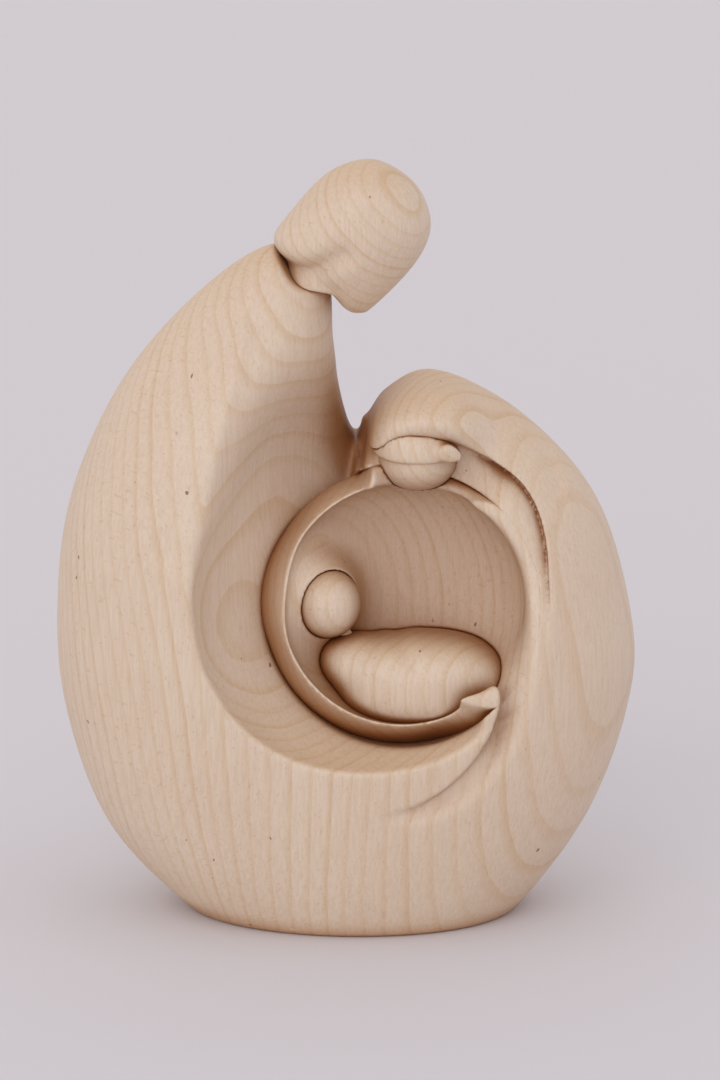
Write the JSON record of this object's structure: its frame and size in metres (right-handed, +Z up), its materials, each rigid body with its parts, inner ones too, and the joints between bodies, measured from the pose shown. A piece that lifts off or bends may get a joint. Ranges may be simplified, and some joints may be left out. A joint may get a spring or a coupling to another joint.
{
  "type": "carved wooden family group figurine",
  "caption": "Free-standing abstract wood carving: a bending father and a veiled mother curve round an infant lying in a bowl-shaped hollow.",
  "frame": {"origin": "on the resting surface, under the middle of the block", "axes": "+Z up, +X to the viewer's right (the mother's side), +Y away from the open front"},
  "size_m": [0.1504, 0.0815, 0.1994],
  "materials": {
    "maple": "fine sanded, uncoated satin",
    "beech": "plain turned dowel"
  },
  "bodies": {
    "root": {"body_block": "maple", "father_head": "maple", "mother_head": "maple", "cradle_bowl": "maple", "child_body": "maple", "child_head": "maple", "father_neck_dowel": "beech", "mother_head_dowel": "beech", "cradle_dowel_left": "beech", "cradle_dowel_right": "beech", "child_body_dowel": "beech", "child_head_dowel": "beech"}
  },
  "joints": []
}
